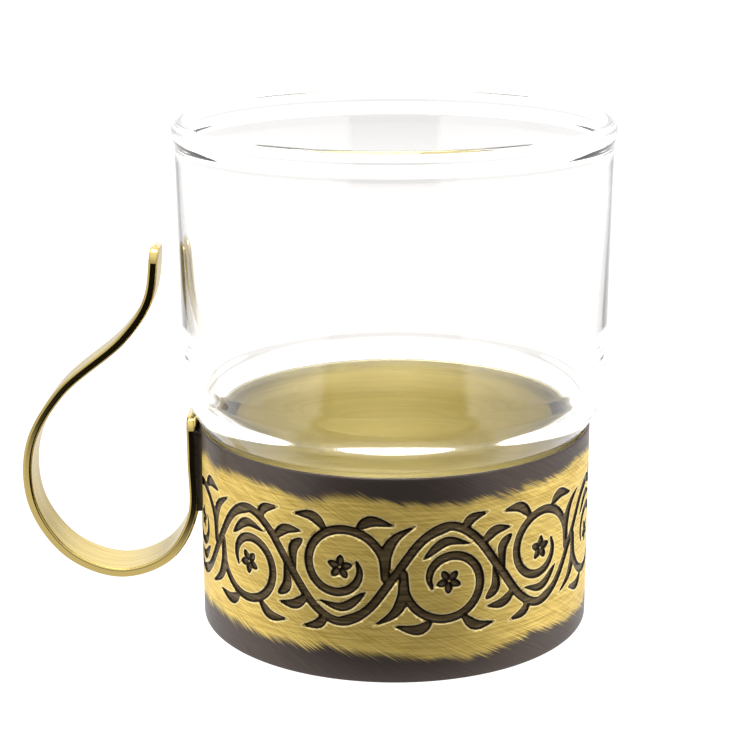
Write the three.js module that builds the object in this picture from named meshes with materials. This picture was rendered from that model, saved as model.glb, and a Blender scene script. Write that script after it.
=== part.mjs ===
// Glass for hot tea in a low brass holder with a bent strip handle.
// Millimetres, +Z up. The origin is the middle of the holder's flat underside.
// The handle lies towards -X.

import * as THREE from 'three';

// Holder: an open brass cup with a thin wall and a flat floor
const HOLDER_RADIUS = 36.5;
const HOLDER_HEIGHT = 37.8;
const HOLDER_WALL = 0.6;
const HOLDER_FLOOR = 0.8;
const HOLDER_EDGE = 0.5;

// Glass: a wide upper body that steps in above the holder's rim and goes down inside it
const SEAT_GAP = 0.3;
const FOOT_RADIUS = 34.6;
const INNER_FOOT_RADIUS = 32.2;
const FOOT_CORNER = 3.0;
const BASE_THICKNESS = 4.0;
const GLASS_TOP = 94.0;
const BEAD_RADIUS = 40.0;
const BEAD_HEIGHT = 3.4;
const BEAD_THICKNESS = 2.8;

// Outer face of the glass as [radius, z], from inside the holder over the shoulder up to the rim's bead
const OUTER_LINE = [
  [FOOT_RADIUS, 31.5],
  [34.9, 36.5],
  [35.5, 37.7],
  [36.5, 38.95],
  [37.6, 40.8],
  [38.35, 42.6],
  [38.85, 45.0],
  [39.2, 48.5],
  [39.3, 66.0],
  [39.5, 90.0],
];

// Inner face from the bead down: the wall thickens downwards and bulges a little where it bends in
const INNER_LINE = [
  [37.9, 89.0],
  [37.4, 74.0],
  [36.5, 50.0],
  [36.4, 48.0],
  [36.05, 45.7],
  [36.07, 44.0],
  [36.37, 42.0],
  [35.82, 40.0],
  [34.68, 38.0],
  [33.54, 36.0],
  [32.7, 34.0],
  [INNER_FOOT_RADIUS, 31.0],
];

// Handle: a flat strip, widest where it is fixed to the holder, that narrows over the first half of its length
const STRIP_THICKNESS = 1.7;
const STRIP_WIDTH_AT_WALL = 13.8;
const STRIP_WIDTH_AT_TIP = 8.4;
const STRIP_TAPER_SHARE = 0.5;
const STRIP_END_ROUNDING = 3.0;
const STRIP_EDGE = 0.4;
const STRIP_TOP = 39.3;
const STRIP_X = -(HOLDER_RADIUS + SEAT_GAP + STRIP_THICKNESS / 2);

// Middle line of the strip as [x, z], down the holder's wall, round the finger loop and up to the tip
const STRIP_LINE = [
  [STRIP_X, STRIP_TOP],
  [STRIP_X, 31.0],
  [STRIP_X - 0.4, 19.5],
  [-42.9, 11.4],
  [-52.0, 8.1],
  [-61.7, 11.7],
  [-68.1, 21.1],
  [-68.3, 32.6],
  [-62.4, 43.0],
  [-50.0, 53.8],
  [-45.2, 60.9],
  [-43.6, 70.7],
];

const LATHE_SEGMENTS = 76;
const STRIP_STEPS = 72;
const ARC_POINTS = 5;

const brass = new THREE.MeshStandardMaterial({ color: 0xb79b55, roughness: 0.35, metalness: 1.0 });
const patinatedBrass = new THREE.MeshStandardMaterial({ color: 0x8f7741, roughness: 0.4, metalness: 1.0 });
const clearGlass = new THREE.MeshStandardMaterial({
  color: 0xeef2f1, roughness: 0.02, metalness: 0.0, transparent: true, opacity: 0.35,
});

// Points on a quarter of an ellipse round (r, z), from one angle to another in degrees
function arc(r, z, radiusR, radiusZ, fromDegrees, toDegrees, count = ARC_POINTS) {
  const points = [];
  for (let i = 0; i < count; i += 1) {
    const angle = THREE.MathUtils.degToRad(fromDegrees + (toDegrees - fromDegrees) * i / (count - 1));
    points.push(new THREE.Vector2(r + radiusR * Math.cos(angle), z + radiusZ * Math.sin(angle)));
  }
  return points;
}

// A profile of (radius, height) points turned about the Z axis
function turned(profile) {
  const geometry = new THREE.LatheGeometry(profile, LATHE_SEGMENTS);
  geometry.rotateX(Math.PI / 2);
  return geometry;
}

function holderGeometry() {
  const inner = HOLDER_RADIUS - HOLDER_WALL;
  const rim = HOLDER_WALL / 2;
  return turned([
    new THREE.Vector2(0, 0),
    new THREE.Vector2(HOLDER_RADIUS - HOLDER_EDGE, 0),
    new THREE.Vector2(HOLDER_RADIUS, HOLDER_EDGE),
    ...arc(inner + rim, HOLDER_HEIGHT - rim, rim, rim, 0, 180),
    new THREE.Vector2(inner, HOLDER_FLOOR),
    new THREE.Vector2(0, HOLDER_FLOOR),
  ]);
}

// Points on a smooth curve through a line of [radius, z]
function curve(line) {
  const spline = new THREE.SplineCurve(line.map(([r, z]) => new THREE.Vector2(r, z)));
  return spline.getPoints(2 * (line.length - 1));
}

function glassGeometry() {
  const foot = HOLDER_FLOOR + SEAT_GAP;
  const floor = foot + BASE_THICKNESS;
  const beadLow = GLASS_TOP - BEAD_HEIGHT;
  const beadRise = 1.3;
  const beadHalf = BEAD_THICKNESS / 2;
  const beadInner = BEAD_RADIUS - BEAD_THICKNESS;
  return turned([
    new THREE.Vector2(0, foot),
    ...arc(FOOT_RADIUS - FOOT_CORNER, foot + FOOT_CORNER, FOOT_CORNER, FOOT_CORNER, -90, 0),
    ...curve(OUTER_LINE),
    new THREE.Vector2(BEAD_RADIUS - 0.15, beadLow + 0.6),
    new THREE.Vector2(BEAD_RADIUS, beadLow + BEAD_HEIGHT / 2),
    ...arc(BEAD_RADIUS - beadHalf, GLASS_TOP - beadRise, beadHalf, beadRise, 20, 160, 7),
    new THREE.Vector2(beadInner, beadLow + BEAD_HEIGHT / 2),
    new THREE.Vector2(beadInner + 0.3, beadLow),
    ...curve(INNER_LINE),
    ...arc(INNER_FOOT_RADIUS - FOOT_CORNER, floor + FOOT_CORNER, FOOT_CORNER, FOOT_CORNER, 0, -90),
    new THREE.Vector2(0, floor),
  ]);
}

// Half the strip's width at a distance along it: an even taper, then even, with a round corner at each end
function stripHalfWidth(distance, length) {
  const share = Math.min(distance / (STRIP_TAPER_SHARE * length), 1);
  const taper = THREE.MathUtils.lerp(STRIP_WIDTH_AT_WALL, STRIP_WIDTH_AT_TIP, share) / 2;
  const toEnd = Math.min(distance, length - distance);
  const missing = Math.max(STRIP_END_ROUNDING - toEnd, 0);
  return taper - STRIP_END_ROUNDING + Math.sqrt(STRIP_END_ROUNDING ** 2 - missing ** 2);
}

// The strip as rings of eight points, a flat section with broken edges, carried along its middle line
function stripGeometry() {
  const line = new THREE.CatmullRomCurve3(
    STRIP_LINE.map(([x, z]) => new THREE.Vector3(x, 0, z)), false, 'centripetal',
  );
  const length = line.getLength();
  const positions = [];
  const half = STRIP_THICKNESS / 2;
  for (let i = 0; i <= STRIP_STEPS; i += 1) {
    const u = (1 - Math.cos(Math.PI * i / STRIP_STEPS)) / 2 * 0.3 + i / STRIP_STEPS * 0.7;
    const point = line.getPointAt(u);
    const along = line.getTangentAt(u);
    const across = new THREE.Vector3(-along.z, 0, along.x);
    const width = stripHalfWidth(u * length, length);
    const section = [
      [-half, -width + STRIP_EDGE], [-half + STRIP_EDGE, -width], [half - STRIP_EDGE, -width],
      [half, -width + STRIP_EDGE], [half, width - STRIP_EDGE], [half - STRIP_EDGE, width],
      [-half + STRIP_EDGE, width], [-half, width - STRIP_EDGE],
    ];
    for (const [depth, side] of section) {
      const corner = point.clone().addScaledVector(across, depth);
      positions.push(corner.x, side, corner.z);
    }
  }
  const sides = 8;
  const index = [];
  for (let i = 0; i < STRIP_STEPS; i += 1) {
    for (let k = 0; k < sides; k += 1) {
      const here = i * sides + k;
      const beside = i * sides + (k + 1) % sides;
      index.push(here, here + sides, beside, beside, here + sides, beside + sides);
    }
  }
  const last = STRIP_STEPS * sides;
  for (let k = 1; k < sides - 1; k += 1) {
    index.push(0, k, k + 1);
    index.push(last, last + k + 1, last + k);
  }
  const geometry = new THREE.BufferGeometry();
  geometry.setAttribute('position', new THREE.Float32BufferAttribute(positions, 3));
  geometry.setIndex(index);
  geometry.computeVertexNormals();
  return geometry;
}

function part(name, geometry, material) {
  const mesh = new THREE.Mesh(geometry, material);
  mesh.name = name;
  return mesh;
}

const teaGlass = new THREE.Group();
teaGlass.add(part('holder', holderGeometry(), patinatedBrass));
teaGlass.add(part('handle', stripGeometry(), brass));
teaGlass.add(part('glass', glassGeometry(), clearGlass));

export default teaGlass;
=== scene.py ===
from math import cos, pi, radians, sin

import bpy
import numpy as np
from mathutils import Matrix, Vector


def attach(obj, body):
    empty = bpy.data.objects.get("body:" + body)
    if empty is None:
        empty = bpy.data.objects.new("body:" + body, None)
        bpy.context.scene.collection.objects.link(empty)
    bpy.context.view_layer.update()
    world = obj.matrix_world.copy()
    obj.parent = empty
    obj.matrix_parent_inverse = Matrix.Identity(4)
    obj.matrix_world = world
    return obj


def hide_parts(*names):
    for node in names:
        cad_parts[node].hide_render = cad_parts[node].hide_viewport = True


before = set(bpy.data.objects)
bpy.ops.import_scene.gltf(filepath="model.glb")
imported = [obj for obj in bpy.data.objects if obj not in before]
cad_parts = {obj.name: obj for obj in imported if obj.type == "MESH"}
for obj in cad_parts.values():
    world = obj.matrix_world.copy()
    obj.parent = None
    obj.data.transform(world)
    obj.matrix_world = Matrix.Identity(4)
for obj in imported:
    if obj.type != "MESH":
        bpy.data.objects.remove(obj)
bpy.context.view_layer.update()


# Holder: a low spun brass cup. Its outside carries an engraved leaf scroll, and a dark brown patina is left
# on both borders and in the cuts, where the brushing that bared the gold field did not reach.
MM = 0.001


def ring_mesh(name, rings, low, high, flip=None):
    """Closed mesh from an array of rings (rows, columns, xyz) in mm: neighbours are joined by quads split
    into triangles, and a fan joins the first row to the point low and the last row to the point high.
    Where flip is true the quad is split along its other diagonal. The faces are turned outward if the volume
    is negative: the sum of each face's first point times the cross product of its other two."""
    rows, columns, _ = rings.shape
    points = np.vstack([rings.reshape(-1, 3), [low, high]])
    here = np.arange(rows * columns).reshape(rows, columns)
    beside = np.roll(here, -1, 1)
    a, b, c, d = here[:-1], beside[:-1], beside[1:], here[1:]
    flip = np.zeros(a.shape, bool) if flip is None else flip
    first = np.where(flip[..., None], np.stack([a, b, d], -1), np.stack([a, b, c], -1))
    second = np.where(flip[..., None], np.stack([b, c, d], -1), np.stack([a, c, d], -1))
    bottom = np.stack([beside[0], here[0], np.full(columns, rows * columns)], -1)
    top = np.stack([here[-1], beside[-1], np.full(columns, rows * columns + 1)], -1)
    faces = np.vstack([first.reshape(-1, 3), second.reshape(-1, 3), bottom, top])
    p, q, r = (points[faces[:, k]] for k in range(3))
    if (p * np.cross(q, r)).sum() < 0:
        faces = faces[:, ::-1]
    mesh = bpy.data.meshes.new(name)
    mesh.vertices.add(len(points))
    mesh.vertices.foreach_set("co", (points * MM).ravel())
    mesh.loops.add(faces.size)
    mesh.loops.foreach_set("vertex_index", faces.ravel())
    mesh.polygons.add(len(faces))
    mesh.polygons.foreach_set("loop_start", np.arange(0, faces.size, 3))
    mesh.polygons.foreach_set("loop_total", np.full(len(faces), 3))
    mesh.polygons.foreach_set("use_smooth", np.ones(len(faces), bool))
    mesh.update(calc_edges=True)
    piece = bpy.data.objects.new(name, mesh)
    bpy.context.scene.collection.objects.link(piece)
    return piece


def smooth_line(points, steps):
    """Catmull-Rom curve through the points: between each two a cubic whose slope at a point is half the way
    from the point before to the point after, in this number of steps."""
    p = np.asarray(points, float)
    p = np.vstack([2 * p[0] - p[1], p, 2 * p[-1] - p[-2]])
    t = np.linspace(0, 1, steps, endpoint=False)[None, :, None]
    a, b, c, d = (p[i:len(p) - 3 + i, None] for i in range(4))
    curve = 2 * b + (c - a) * t + (2 * a - 5 * b + 4 * c - d) * t ** 2 + (3 * b - a - 3 * c + d) * t ** 3
    return np.vstack([curve.reshape(-1, p.shape[1]) / 2, p[-2]])


def arc(r, z, radius, start, end, count):
    """Points on a circle's arc round (r, z), between two angles in degrees."""
    angle = np.radians(np.linspace(start, end, count))
    return np.stack([r + radius * np.cos(angle), z + radius * np.sin(angle)], -1)


def stroke_distance(s, v, line, half, kind):
    """Distance from the points (s, v) to a stroke: the least over its pieces of the distance to the nearest
    point of the piece, less the half width there. A stem is even, a tendril narrows by the square over its
    last quarter and a leaf swells as a half sine."""
    curve = smooth_line(line, 8)
    t = np.linspace(0, 1, len(curve))
    if kind == "leaf":
        width = half * (0.12 + 0.88 * np.sin(pi * t ** 0.8))
    elif kind == "tendril":
        width = half * (1 - 0.6 * np.clip((t - 0.75) / 0.25, 0, 1) ** 2)
    else:
        width = np.full(len(t), half)
    start, step = curve[:-1], np.diff(curve, axis=0)
    rel_s, rel_v = s[..., None] - start[:, 0], v[..., None] - start[:, 1]
    along = np.clip((rel_s * step[:, 0] + rel_v * step[:, 1]) / (step ** 2).sum(1), 0, 1)
    gap = np.hypot(rel_s - along * step[:, 0], rel_v - along * step[:, 1])
    return (gap - width[:-1] - along * np.diff(width)).min(-1)


# the scroll: strokes as points (s, v) in mm along the wall and up from the band's middle, half width and kind
HOLDER_R, HOLDER_H, HOLDER_WALL, FLOOR_Z = 36.5, 37.8, 0.6, 0.8
REPEATS, COLUMNS = 6, 720
PERIOD = 2 * pi * HOLDER_R / REPEATS
BAND_MIDDLE, UNCUT = 20.0, 9.0
band_z = np.linspace(5.0, 35.0, 97)
band_s = np.arange(COLUMNS // REPEATS) * PERIOD * REPEATS / COLUMNS
s, v = np.meshgrid(band_s, band_z - BAND_MIDDLE)
quarter = PERIOD / 4
centre_v = -1.3
turn = np.radians(np.linspace(168, 560, 14))
reach = np.linspace(8.2, 3.2, 14)
half_scroll = [
    ([(-quarter, -8.8), (-quarter * 0.5, -6.4), (0, 0), (quarter * 0.5, 6.4), (quarter, 8.8),
      (quarter * 1.5, 6.4), (quarter * 2, 0)], 0.85, "stem"),
    (np.stack([quarter + reach * np.cos(turn), centre_v + reach * np.sin(turn)], -1), 0.85, "tendril"),
    ([(-1.0, 0.4), (-1.5, 3.6), (0.0, 6.8), (3.6, 9.2)], 1.1, "leaf"),
    ([(quarter * 0.52, 3.0), (quarter * 0.94, 6.0), (quarter * 1.42, 5.2)], 0.9, "leaf"),
    ([(quarter * 1.28, 7.7), (quarter * 1.42, 9.7), (quarter * 1.76, 10.6)], 0.95, "leaf"),
    ([(quarter * 1.62, 4.6), (quarter * 1.9, 6.8), (quarter * 2.26, 7.0)], 1.0, "leaf"),
    ([(quarter + 7.0, -5.6), (quarter + 8.9, -3.4), (quarter + 8.4, 1.0)], 1.0, "leaf"),
    ([(quarter - 3.0, -8.6), (quarter - 5.6, -10.0), (quarter - 9.6, -9.2)], 1.05, "leaf"),
    ([(quarter + 2.4, -7.8), (quarter + 5.0, -10.1), (quarter + 8.8, -10.1)], 1.0, "leaf"),
]
for k in range(5):
    petal = radians(72 * k + 50)
    ends = [(quarter + far * cos(petal), centre_v + far * sin(petal)) for far in (0.4, 2.3)]
    half_scroll.append((ends, 0.75, "leaf"))
cut = np.full(s.shape, UNCUT)
for line, half, kind in half_scroll:
    line = np.asarray(line, float)
    for copy in (line, [PERIOD, 0] - line):
        for shift in (-PERIOD, 0, PERIOD):
            cut = np.minimum(cut, stroke_distance(s, v, copy + [shift, 0], half, kind))

# points within half a cell of a stroke's edge are moved onto it, down the slope of the distance
cell = band_s[1]
slope_v, slope_s = np.gradient(np.hstack([cut[:, -1:], cut, cut[:, :1]]), cell)
slope_v, slope_s = slope_v[:, 1:-1], slope_s[:, 1:-1]
steep = np.maximum(slope_v ** 2 + slope_s ** 2, 0.25)
near = np.abs(cut) < 0.5 * cell
s = s - np.where(near, cut * slope_s / steep, 0)
v = v - np.where(near, cut * slope_v / steep, 0)
cut = np.where(near, 0, cut)
CUT_DEPTH, BURR_HEIGHT, BURR_HALF_WIDTH = 0.34, 0.03, 0.25
deep = np.clip(-cut / CUT_DEPTH, 0, 1)
burr = np.clip(1 - np.abs(cut - BURR_HALF_WIDTH) / BURR_HALF_WIDTH, 0, 1)
band_r = HOLDER_R - CUT_DEPTH * deep ** 2 * (3 - 2 * deep) + BURR_HEIGHT * burr
band_r, band_up, band_cut = (np.tile(each, (1, REPEATS)) for each in (band_r, v + BAND_MIDDLE, cut))
band_turn = np.hstack([s + k * PERIOD for k in range(REPEATS)]) / HOLDER_R - pi / 2

# the turned profile below and above the band, as (radius, height)
FOOT_EDGE, INNER_CORNER = 0.5, 0.6
inner_r, rim_r = HOLDER_R - HOLDER_WALL, HOLDER_WALL / 2
below = np.vstack([[(9, 0), (20, 0), (29, 0), (34, 0)],
                   arc(HOLDER_R - FOOT_EDGE, FOOT_EDGE, FOOT_EDGE, -90, 0, 6),
                   [(HOLDER_R, 1.2), (HOLDER_R, 2.4), (HOLDER_R, 3.6), (HOLDER_R, 4.5)]])
above = np.vstack([[(HOLDER_R, 35.4), (HOLDER_R, 36.2), (HOLDER_R, 37.0)],
                   arc(HOLDER_R - rim_r, HOLDER_H - rim_r, rim_r, 0, 180, 13),
                   np.stack([np.full(9, inner_r), np.linspace(36.6, 2.2, 9)], -1),
                   arc(inner_r - INNER_CORNER, FLOOR_Z + INNER_CORNER, INNER_CORNER, 0, -90, 5),
                   [(30, FLOOR_Z), (18, FLOOR_Z), (8, FLOOR_Z)]])
even_turn = np.arange(COLUMNS) * 2 * pi / COLUMNS - pi / 2
radius = np.vstack([np.repeat(below[:, :1], COLUMNS, 1), band_r, np.repeat(above[:, :1], COLUMNS, 1)])
height = np.vstack([np.repeat(below[:, 1:], COLUMNS, 1), band_up, np.repeat(above[:, 1:], COLUMNS, 1)])
angle = np.vstack([np.tile(even_turn, (len(below), 1)), band_turn, np.tile(even_turn, (len(above), 1))])
distance = np.vstack([np.full((len(below), COLUMNS), UNCUT), band_cut, np.full((len(above), COLUMNS), UNCUT)])
far_side = np.roll(distance, -1, 1)
flip = np.abs(distance[:-1] + far_side[1:]) > np.abs(far_side[:-1] + distance[1:])
rings = np.stack([radius * np.cos(angle), radius * np.sin(angle), height], -1)
holder = ring_mesh("holder_engraved", rings, (0, 0, 0), (0, 0, FLOOR_Z), flip)
distance = np.append(distance.ravel(), [UNCUT, UNCUT])
holder.data.attributes.new("cut", "FLOAT", "POINT").data.foreach_set("value", distance)


def node(tree, kind, inputs=None, **settings):
    """Adds a node of this kind; each input takes a socket as a link or else a value."""
    made = tree.nodes.new(kind)
    for key, value in settings.items():
        setattr(made, key, value)
    for key, value in (inputs or {}).items():
        if isinstance(value, bpy.types.NodeSocket):
            tree.links.new(value, made.inputs[key])
        else:
            made.inputs[key].default_value = value
    return made


def between(tree, value, low, high, start=0.0, end=1.0):
    """Map Range, eased at both ends: the value's place from low to high gives start to end, held outside."""
    inputs = {"Value": value, "From Min": low, "From Max": high, "To Min": start, "To Max": end}
    return node(tree, "ShaderNodeMapRange", inputs, interpolation_type="SMOOTHSTEP").outputs["Result"]


def mixed(tree, factor, a, b):
    """Mix of two colours: a where the factor is 0 and b where it is 1. The colours are in sockets 6 and 7."""
    return node(tree, "ShaderNodeMix", {0: factor, 6: a, 7: b}, data_type="RGBA").outputs[2]


def maths(tree, kind, *values):
    """Math node of this kind: its result from one to three values."""
    return node(tree, "ShaderNodeMath", dict(enumerate(values)), operation=kind).outputs[0]


def scaled(tree, vector, factors):
    """The vector multiplied by the factors, axis by axis."""
    return node(tree, "ShaderNodeVectorMath", {0: vector, 1: factors}, operation="MULTIPLY").outputs[0]


def noise(tree, place, scale, detail):
    """Noise from 0 to 1 at the place times the scale, with this many finer octaves added."""
    inputs = {"Vector": place, "Scale": scale, "Detail": detail}
    return node(tree, "ShaderNodeTexNoise", inputs).outputs["Fac"]


def new_material(name):
    """Material with an empty node tree but for its Principled shader and output."""
    material = bpy.data.materials.new(name)
    material.use_nodes = True
    return material, material.node_tree, material.node_tree.nodes["Principled BSDF"]


def surface(tree, shader, tone, rough, height, strength, distance):
    """Links the colour, the roughness and a bump of the height, its strength and distance in metres."""
    tree.links.new(tone, shader.inputs["Base Color"])
    tree.links.new(rough, shader.inputs["Roughness"])
    bump = node(tree, "ShaderNodeBump", {"Height": height, "Strength": strength, "Distance": distance})
    tree.links.new(bump.outputs["Normal"], shader.inputs["Normal"])


# group: brush lines round the holder's wall, level or slanted by a twist about Z
brush = bpy.data.node_groups.new("brush_lines", "ShaderNodeTree")
for socket in ("Twist", "Across", "Along"):
    brush.interface.new_socket(socket, in_out="INPUT", socket_type="NodeSocketFloat")
brush.interface.new_socket("Lines", in_out="OUTPUT", socket_type="NodeSocketFloat")
given = brush.nodes.new("NodeGroupInput")
place = node(brush, "ShaderNodeTexCoord").outputs["Object"]
rise = node(brush, "ShaderNodeSeparateXYZ", {"Vector": place}).outputs["Z"]
twist = maths(brush, "MULTIPLY", rise, given.outputs["Twist"])
spun = node(brush, "ShaderNodeVectorRotate", {"Vector": place, "Angle": twist}, rotation_type="Z_AXIS")
across, along = given.outputs["Across"], given.outputs["Along"]
scales = node(brush, "ShaderNodeCombineXYZ", {"X": across, "Y": across, "Z": along}).outputs[0]
stretched = scaled(brush, spun.outputs[0], scales)
lines = node(brush, "ShaderNodeTexNoise", {"Vector": stretched, "Scale": 1.0, "Detail": 3.0,
                                           "Roughness": 0.6})
result = brush.nodes.new("NodeGroupOutput")
brush.links.new(lines.outputs["Fac"], result.inputs["Lines"])


def brush_lines(tree, twist, across, along):
    """The group's value for a twist in radians per metre, and frequencies per metre in x and y and in z."""
    made = node(tree, "ShaderNodeGroup", node_tree=brush)
    for key, value in (("Twist", twist), ("Across", across), ("Along", along)):
        made.inputs[key].default_value = value
    return made.outputs["Lines"]


# outside: ragged is a height in metres that frays the borders, and depth the distance from a stroke in mm
engraved, tree, shader = new_material("patinated_brass_engraved")
place = node(tree, "ShaderNodeTexCoord").outputs["Object"]
rise = node(tree, "ShaderNodeSeparateXYZ", {"Vector": place}).outputs["Z"]
slanted = brush_lines(tree, 46.0, 3600.0, 230.0)
tufts = brush_lines(tree, 46.0, 900.0, 80.0)
level = brush_lines(tree, 6.0, 150.0, 2600.0)
cloud = noise(tree, place, 75.0, 2.0)
ragged = maths(tree, "MULTIPLY", maths(tree, "SUBTRACT", cloud, 0.5), 0.0070)
ragged = maths(tree, "MULTIPLY_ADD", maths(tree, "SUBTRACT", tufts, 0.5), 0.0016, ragged)
ragged = maths(tree, "MULTIPLY_ADD", maths(tree, "SUBTRACT", slanted, 0.5), 0.0042, ragged)
frayed = maths(tree, "ADD", rise, ragged)
low_border = between(tree, frayed, 0.0046, 0.0063, 1.0, 0.0)
high_border = between(tree, frayed, 0.0324, 0.0341)
border = maths(tree, "MAXIMUM", low_border, high_border)
depth = node(tree, "ShaderNodeAttribute", attribute_name="cut").outputs["Fac"]
in_cut = between(tree, depth, 0.02, -0.06)
# near black along the walls inside each cut: partly patina left on the walls, partly painted shade of the
# recess
cut_wall_patina_and_shade = maths(tree, "MULTIPLY", in_cut, between(tree, depth, -0.52, -0.28))
# a bright line just outside each stroke's edge: a painted highlight on the rounded arris
arris_highlight = maths(tree, "MULTIPLY", between(tree, depth, 0.0, 0.06), between(tree, depth, 0.36, 0.16))
streaks = maths(tree, "ADD", maths(tree, "MULTIPLY", level, 0.5), maths(tree, "MULTIPLY", slanted, 0.5))
gold = mixed(tree, between(tree, streaks, 0.36, 0.62), (0.56, 0.40, 0.095, 1), (0.90, 0.70, 0.22, 1))
gold = mixed(tree, between(tree, cloud, 0.45, 0.74, 0.0, 0.35), gold, (0.48, 0.35, 0.105, 1))
gold = mixed(tree, maths(tree, "MULTIPLY", arris_highlight, 0.75), gold, (0.94, 0.82, 0.46, 1))
patina = mixed(tree, between(tree, slanted, 0.3, 0.75), (0.088, 0.070, 0.062, 1), (0.108, 0.087, 0.077, 1))
worn = mixed(tree, between(tree, level, 0.35, 0.7), (0.085, 0.060, 0.030, 1), (0.20, 0.145, 0.070, 1))
tone = mixed(tree, border, gold, patina)
tone = mixed(tree, in_cut, tone, worn)
tone = mixed(tree, cut_wall_patina_and_shade, tone, (0.018, 0.012, 0.008, 1))
rough = maths(tree, "MULTIPLY_ADD", border, -0.10, between(tree, streaks, 0.3, 0.7, 0.66, 0.56))
bare = maths(tree, "SUBTRACT", 1.0, maths(tree, "MULTIPLY", border, 0.92))
surface(tree, shader, tone, rough, maths(tree, "MULTIPLY", streaks, bare), 0.35, 0.00006)
shader.inputs["Metallic"].default_value = 1.0
shader.inputs["Coat Weight"].default_value = 0.12
shader.inputs["Coat Roughness"].default_value = 0.09
holder.data.materials.append(engraved)

# inside: bare brass with faint turned lines and smudges
lining, tree, shader = new_material("patinated_brass_inside")
place = node(tree, "ShaderNodeTexCoord").outputs["Object"]
turned_lines = brush_lines(tree, 0.0, 50.0, 2600.0)
smudge = noise(tree, place, 45.0, 3.0)
tone = mixed(tree, between(tree, turned_lines, 0.3, 0.7), (0.72, 0.655, 0.375, 1), (0.80, 0.735, 0.44, 1))
tone = mixed(tree, between(tree, smudge, 0.42, 0.75, 0.0, 0.35), tone, (0.68, 0.61, 0.34, 1))
surface(tree, shader, tone, between(tree, smudge, 0.3, 0.7, 0.34, 0.44), turned_lines, 0.25, 0.00005)
shader.inputs["Metallic"].default_value = 1.0
holder.data.materials.append(lining)
OUTSIDE_R, UNDERSIDE_Z = 36.02 * MM, 0.4 * MM
centres = np.empty(len(holder.data.polygons) * 3)
holder.data.polygons.foreach_get("center", centres)
centres = centres.reshape(-1, 3)
outside = (np.hypot(centres[:, 0], centres[:, 1]) > OUTSIDE_R) | (centres[:, 2] < UNDERSIDE_Z)
holder.data.polygons.foreach_set("material_index", np.where(outside, 0, 1))
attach(holder, "root")
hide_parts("holder")


# Handle: one flat brass strip, soldered upright to the holder's wall, bent round in a finger loop and rising
# to a free tip beside the glass. Its faces are brushed along their length and its edges are polished.
STRIP_T, STRIP_X = 1.7, -37.65
WIDTH_AT_WALL, WIDTH_AT_TIP = 13.8, 8.4
END_R, EDGE_R = 3.0, 0.45
strip_line = [(STRIP_X, 39.3), (STRIP_X, 31.0), (STRIP_X - 0.4, 19.5), (-42.9, 11.4), (-52.0, 8.1),
              (-61.7, 11.7), (-68.09, 21.1), (-68.29, 32.6), (-62.4, 43.0), (-50.0, 53.8), (-45.2, 60.9),
              (-43.6, 70.7)]


def centripetal(points, count):
    """Catmull-Rom curve with knots at the square root of each chord, at even distances along its length."""
    p = np.asarray(points, float)
    p = np.vstack([2 * p[0] - p[1], p, 2 * p[-1] - p[-2]])
    pieces = []
    for i in range(len(p) - 3):
        four = p[i:i + 4]
        t = np.append(0, np.cumsum(np.sqrt(np.hypot(*np.diff(four, axis=0).T))))
        u = np.linspace(t[1], t[2], 60, endpoint=False)[:, None]
        one = [(four[k] * (t[k + 1] - u) + four[k + 1] * (u - t[k])) / (t[k + 1] - t[k]) for k in range(3)]
        two = [(one[k] * (t[k + 2] - u) + one[k + 1] * (u - t[k])) / (t[k + 2] - t[k]) for k in range(2)]
        pieces.append((two[0] * (t[2] - u) + two[1] * (u - t[1])) / (t[2] - t[1]))
    fine = np.vstack(pieces + [p[-2:-1]])
    length = np.append(0, np.cumsum(np.hypot(*np.diff(fine, axis=0).T)))
    even = np.linspace(0, length[-1], count)
    return np.stack([np.interp(even, length, fine[:, k]) for k in (0, 1)], -1), even


# stations along the strip are closer together towards both ends, where its corners are round
STATIONS = 460
path, run = centripetal(strip_line, 520)
length = run[-1]
ease = (1 - np.cos(np.linspace(0, pi, STATIONS))) / 2
station = length * (0.45 * ease + 0.55 * np.linspace(0, 1, STATIONS))
path = np.stack([np.interp(station, run, path[:, k]) for k in (0, 1)], -1)
along = np.gradient(path, axis=0)
along /= np.hypot(*along.T)[:, None]
to_end = np.minimum(station, length - station)
taper = np.interp(station, [0, length / 2], [WIDTH_AT_WALL, WIDTH_AT_TIP]) / 2
half_width = taper - END_R + np.sqrt(END_R ** 2 - np.maximum(END_R - to_end, 0) ** 2)
half_thick = STRIP_T / 2 - EDGE_R + np.sqrt(EDGE_R ** 2 - np.maximum(EDGE_R - to_end, 0) ** 2)

# section: four rounded edges, each with one more point on the face and on the side next to it, which stay
# flat in this way: a share of the depth and a step to the side, in mm
CORNER_POINTS = 7
corner = np.radians(np.linspace(0, 90, CORNER_POINTS))
on_face, on_side = (1.0, 0.5), (0.8, 0.0)
depth, side = [], []
for k, (x, y) in enumerate([(1, 1), (-1, 1), (-1, -1), (1, -1)]):
    first, last = (on_face, on_side) if k % 2 == 0 else (on_side, on_face)
    depth_share = np.concatenate([first[:1], np.ones(CORNER_POINTS), last[:1]])
    side_step = np.concatenate([first[1:], np.zeros(CORNER_POINTS), last[1:]])
    bend = np.pad(corner + k * pi / 2, 1, mode="edge")
    depth.append(x * (half_thick[:, None] - EDGE_R) * depth_share + np.cos(bend) * EDGE_R)
    side.append(y * (half_width[:, None] - EDGE_R - side_step) + np.sin(bend) * EDGE_R)
depth, side = np.hstack(depth), np.hstack(side)
across = np.stack([-along[:, 1], along[:, 0]], -1)
centre = path[:, None] + across[:, None] * depth[..., None]
rings = np.stack([centre[..., 0], side, centre[..., 1]], -1)
ends = [(path[k, 0], 0, path[k, 1]) for k in (0, -1)]
handle = ring_mesh("handle_strip", rings, *ends)
place = np.stack([np.broadcast_to(station[:, None], side.shape), side, depth], -1).reshape(-1, 3)
place = np.vstack([place, [(0, 0, 0), (length, 0, 0)]]) * MM
handle.data.attributes.new("strip", "FLOAT_VECTOR", "POINT").data.foreach_set("vector", place.ravel())

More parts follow.
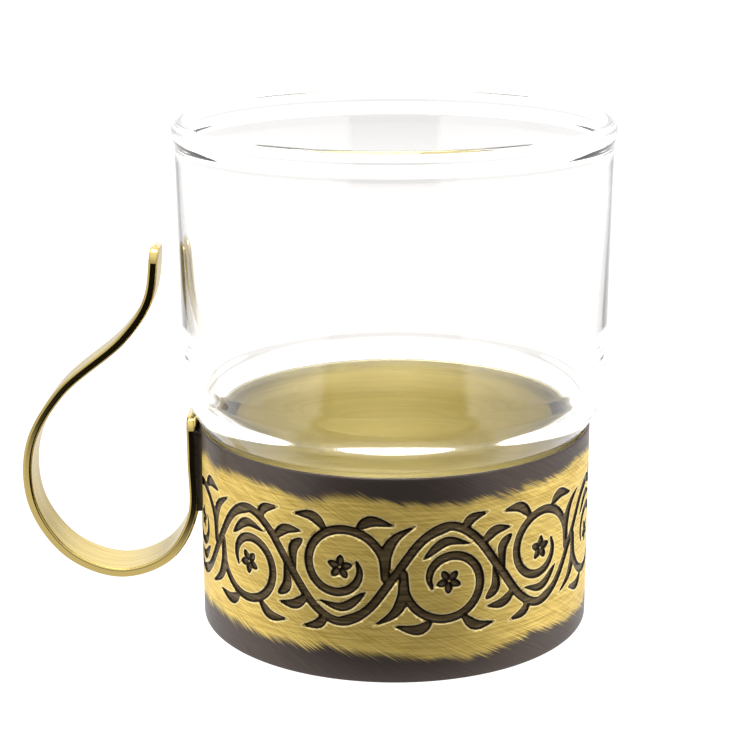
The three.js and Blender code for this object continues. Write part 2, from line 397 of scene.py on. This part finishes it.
polished, tree, shader = new_material("polished_brass_strip")
strip = node(tree, "ShaderNodeAttribute", attribute_name="strip").outputs["Vector"]
parts = node(tree, "ShaderNodeSeparateXYZ", {"Vector": strip})
fine = noise(tree, scaled(tree, strip, (70.0, 4200.0, 4200.0)), 1.0, 3.0)
broad = noise(tree, scaled(tree, strip, (40.0, 420.0, 420.0)), 1.0, 2.0)
on_face = between(tree, maths(tree, "ABSOLUTE", parts.outputs["Z"]), 0.00074, 0.00084)
tone = mixed(tree, between(tree, fine, 0.3, 0.7), (0.35, 0.27, 0.08, 1), (0.50, 0.385, 0.125, 1))
tone = mixed(tree, between(tree, broad, 0.45, 0.75, 0.0, 0.45), tone, (0.29, 0.22, 0.065, 1))
tone = mixed(tree, on_face, (0.44, 0.34, 0.12, 1), tone)
rough = maths(tree, "MULTIPLY_ADD", on_face, 0.18, between(tree, broad, 0.3, 0.7, 0.08, 0.12))
ridges = maths(tree, "MULTIPLY", fine, maths(tree, "MULTIPLY_ADD", on_face, 0.95, 0.05))
surface(tree, shader, tone, rough, ridges, 0.4, 0.00005)
shader.inputs["Metallic"].default_value = 1.0
handle.data.materials.append(polished)
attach(handle, "root")
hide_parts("handle")


# Solder: it fills the wedge between the flat strip and the round wall. Its near-black colour, far darker than
# the borders' patina, is partly solder patina and partly painted shade of the gap between strip and wall. It
# runs out at its lower end and is rounded at its upper one, and it laps a little into the wall and the strip.
LAP, WALL_LAP, TOE = 0.06, 0.05, 2.0
levels = np.linspace(21.0, 36.9, 40)
to_end = np.minimum((levels - levels[0]) / 5.0, (levels[-1] - levels) / 2.0).clip(0, 1)
upright, upright_half = path[:100][::-1], half_width[:100][::-1]
strip_back = np.interp(levels, upright[:, 1], upright[:, 0]) + STRIP_T / 2 - LAP
strip_side = np.interp(levels, upright[:, 1], upright_half)
spread = strip_side + TOE * np.sqrt(1 - (1 - to_end) ** 2)
u = np.linspace(0, 1, 12)[:, None]
section = []
for back, side_y, toe in zip(strip_back, strip_side, spread):
    wall_y = np.linspace(-toe, toe, 25)
    wall = np.stack([-np.sqrt((HOLDER_R - WALL_LAP) ** 2 - wall_y ** 2), wall_y], -1)
    start, pull, end = wall[-1], np.array([-36.3, side_y]), np.array([back - 0.38, side_y - 0.03])
    fillet = (1 - u) ** 2 * start + 2 * u * (1 - u) * pull + u ** 2 * end
    behind_strip = [[back, 3], [back, 0], [back, -3]]
    section.append(np.vstack([wall[:-1], fillet, behind_strip, (fillet * [1, -1])[::-1][:-1]]))
section = np.stack(section)
rings = np.dstack([section, np.broadcast_to(levels[:, None], section.shape[:2])])
ends = [(ring[:, 0].mean(), 0, ring[0, 2]) for ring in (rings[0], rings[-1])]
solder = ring_mesh("handle_solder", rings, *ends)

dull, tree, shader = new_material("solder_patina_and_painted_shade")
place = node(tree, "ShaderNodeTexCoord").outputs["Object"]
grain = noise(tree, place, 900.0, 3.0)
# near black: solder patina with painted shade of the gap between strip and wall
tone = mixed(tree, between(tree, grain, 0.35, 0.7), (0.008, 0.0065, 0.0055, 1), (0.020, 0.016, 0.014, 1))
surface(tree, shader, tone, between(tree, grain, 0.3, 0.7, 0.28, 0.42), grain, 0.3, 0.0001)
shader.inputs["Metallic"].default_value = 1.0
solder.data.materials.append(dull)
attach(solder, "root")


# Glass: one turned body of clear soda-lime glass with a fire-polished rolled bead at its rim. It steps in over
# the holder's rim, and its wall thickens downwards and bulges a little inside where it bends in.
FOOT_Z, INSIDE_Z, FOOT_CORNER = 1.1, 5.1, 3
OUTER_R, INNER_R = 34.6, 32.17


def glass_profile():
    """Outline as (radius, height): foot, outer face, bead, inner face, floor, each a smooth line or an arc."""
    outer = smooth_line([(OUTER_R, 31.5), (34.65, 34.6), (34.9, 36.5), (35.5, 37.7), (36.5, 38.95),
                         (37.6, 40.8), (38.35, 42.6), (38.85, 45.0), (39.2, 48.5), (39.25, 58.0),
                         (39.4, 78.0), (39.5, 90.0)], 9)
    inner = smooth_line([(37.9, 89.0), (37.42, 74.0), (36.79, 58.0), (36.5, 50.0), (36.4, 48.0),
                         (36.05, 45.7), (36.07, 44.0), (36.37, 42.0), (35.82, 40.0), (34.68, 38.0),
                         (33.54, 36.0), (32.7, 34.0), (32.2, 31.0), (INNER_R, 28.0)], 9)
    bead_out = smooth_line([(39.5, 90.0), (39.8, 90.9), (39.99, 92.0), (39.91, 92.8)], 5)[1:-1]
    bead_in = smooth_line([(37.28, 92.8), (37.2, 92.0), (37.4, 90.9), (37.9, 89.6)], 5)[1:-1]
    foot = arc(OUTER_R - FOOT_CORNER, FOOT_Z + FOOT_CORNER, FOOT_CORNER, -90, 0, 13)
    floor = arc(INNER_R - FOOT_CORNER, INSIDE_Z + FOOT_CORNER, FOOT_CORNER, 0, -90, 13)
    return np.vstack([[(8, FOOT_Z), (20, FOOT_Z)], foot, [(OUTER_R, 12), (OUTER_R, 22)], outer, bead_out,
                      arc(38.6, 92.62, 1.37, 8, 172, 25), bead_in, inner, [(INNER_R, 18)], floor,
                      [(20, INSIDE_Z), (8, INSIDE_Z)]])


# the inner bulge is uneven: a little stronger in front, weaker beside that and almost gone at the back
GLASS_COLUMNS = 320
BULGE_Z, BULGE_REACH = 44.9, 2.4
profile = glass_profile()
angle = np.arange(GLASS_COLUMNS) * 2 * pi / GLASS_COLUMNS
radius, height = (np.repeat(profile[:, k:k + 1], GLASS_COLUMNS, 1) for k in (0, 1))
inside = np.arange(len(profile)) > profile[:, 1].argmax()
from_front = np.abs((angle + pi / 2 + pi) % (2 * pi) - pi)
uneven = 0.20 * np.exp(-(from_front / 0.20) ** 2) - 0.26 * np.exp(-((from_front - 0.43) / 0.17) ** 2)
uneven = uneven - 0.38 * np.clip((from_front - 1.9) / 0.5, 0, 1)
radius = radius - inside[:, None] * uneven * np.exp(-((height - BULGE_Z) / BULGE_REACH) ** 2)
rings = np.stack([radius * np.cos(angle), radius * np.sin(angle), height], -1)
glass = ring_mesh("glass_body", rings, (0, 0, FOOT_Z), (0, 0, INSIDE_Z))

clear, tree, shader = new_material("clear_glass_body")
place = node(tree, "ShaderNodeTexCoord").outputs["Object"]
wave = noise(tree, place, 38.0, 1.0)
film = noise(tree, place, 120.0, 4.0)
tint = mixed(tree, between(tree, film, 0.35, 0.75), (0.992, 0.990, 0.985, 1), (0.984, 0.982, 0.976, 1))
surface(tree, shader, tint, between(tree, film, 0.55, 0.85, 0.0, 0.012), wave, 0.12, 0.0004)
shader.inputs["Transmission Weight"].default_value = 1.0
shader.inputs["IOR"].default_value = 1.52
glass.data.materials.append(clear)
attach(glass, "root")
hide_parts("glass")


# Stage: a white table that shows no shade to the camera. A wedge of it before the holder is dark to all but
# the camera, a painted shadow of the holder cast toward the camera, and that is what the upright metal faces
# mirror. To other rays the table glows, brighter near the holder than far back.
bpy.ops.mesh.primitive_plane_add(size=8.0, location=(0, 0, 0))
table = bpy.context.object
table.name = "table"
white, tree, shader = new_material("white_table")
tree.nodes.remove(shader)
place = node(tree, "ShaderNodeNewGeometry").outputs["Position"]
parts = node(tree, "ShaderNodeSeparateXYZ", {"Vector": place})
# painted shadow: the holder's cast shadow on the table, dark to every ray but the camera's
ahead = between(tree, parts.outputs["Y"], -0.026, -0.050)
aside = maths(tree, "MULTIPLY_ADD", parts.outputs["Y"], 0.42, maths(tree, "ABSOLUTE", parts.outputs["X"]))
painted_shadow = maths(tree, "MULTIPLY", ahead, between(tree, aside, 0.052, 0.036))
far = between(tree, parts.outputs["Y"], 0.33, 0.66, 1.28, 0.93)
lit = maths(tree, "MULTIPLY", far, maths(tree, "SUBTRACT", 1.0, maths(tree, "MULTIPLY", painted_shadow, 0.99)))
seen = node(tree, "ShaderNodeLightPath").outputs["Is Camera Ray"]
strength = maths(tree, "MAXIMUM", lit, maths(tree, "MULTIPLY", seen, 1.2))
glow = node(tree, "ShaderNodeEmission", {"Color": (1.0, 0.985, 0.975, 1), "Strength": strength})
tree.links.new(glow.outputs[0], tree.nodes["Material Output"].inputs["Surface"])
table.data.materials.append(white)

# Light: an even white sky that grows brighter overhead and behind, and one soft panel above the glass.
world = bpy.data.worlds.new("light_tent")
bpy.context.scene.world = world
world.use_nodes = True
tree = world.node_tree
way = node(tree, "ShaderNodeTexCoord").outputs["Generated"]
parts = node(tree, "ShaderNodeSeparateXYZ", {"Vector": way})
sky = between(tree, parts.outputs["Z"], 0.1, 1.0, 1.0, 2.1)
to_back = {0: way, 1: (0.0, 0.94, 0.34)}
behind = node(tree, "ShaderNodeVectorMath", to_back, operation="DOT_PRODUCT").outputs["Value"]
sky = maths(tree, "ADD", sky, between(tree, behind, 0.80, 0.97, 0.0, 0.8))
tree.links.new(sky, tree.nodes["Background"].inputs["Strength"])
tree.nodes["Background"].inputs["Color"].default_value = (1.0, 0.99, 0.98, 1)

lamp = bpy.data.lights.new("panel_above", "AREA")
lamp.shape, lamp.size, lamp.size_y, lamp.energy = "RECTANGLE", 0.30, 0.22, 2.0
panel = bpy.data.objects.new("panel_above", lamp)
panel.matrix_world = Matrix.Translation((-0.10, 0.05, 0.55))
bpy.context.scene.collection.objects.link(panel)

# Camera: at the photograph's place, looking down a little at the middle of the glass. Light goes through many
# glass faces before it is cut off, and a mirrored view stays sharp after a rough one.
FOCAL_LENGTH, PHOTO_WIDTH, SENSOR_WIDTH = 1888.2, 750, 36.0
yaw, pitch, roll = radians(-0.608), radians(15.77), radians(-0.198)
forward = Vector((sin(yaw) * cos(pitch), cos(yaw) * cos(pitch), -sin(pitch)))
level_right = Vector((cos(yaw), -sin(yaw), 0))
level_up = level_right.cross(forward)
right = level_right * cos(roll) + level_up * sin(roll)
up = level_up * cos(roll) - level_right * sin(roll)
lens = bpy.data.cameras.new("camera")
lens.sensor_width, lens.lens = SENSOR_WIDTH, FOCAL_LENGTH / PHOTO_WIDTH * SENSOR_WIDTH
camera = bpy.data.objects.new("camera", lens)
turn = Matrix((right, up, -forward)).transposed().to_4x4()
camera.matrix_world = Matrix.Translation((0, -0.33955, 0.14167)) @ turn
bpy.context.scene.collection.objects.link(camera)
bpy.context.scene.camera = camera
bpy.context.scene.view_settings.view_transform = "Standard"
paths = bpy.context.scene.cycles
paths.max_bounces, paths.transmission_bounces, paths.glossy_bounces, paths.blur_glossy = 24, 24, 12, 0.0
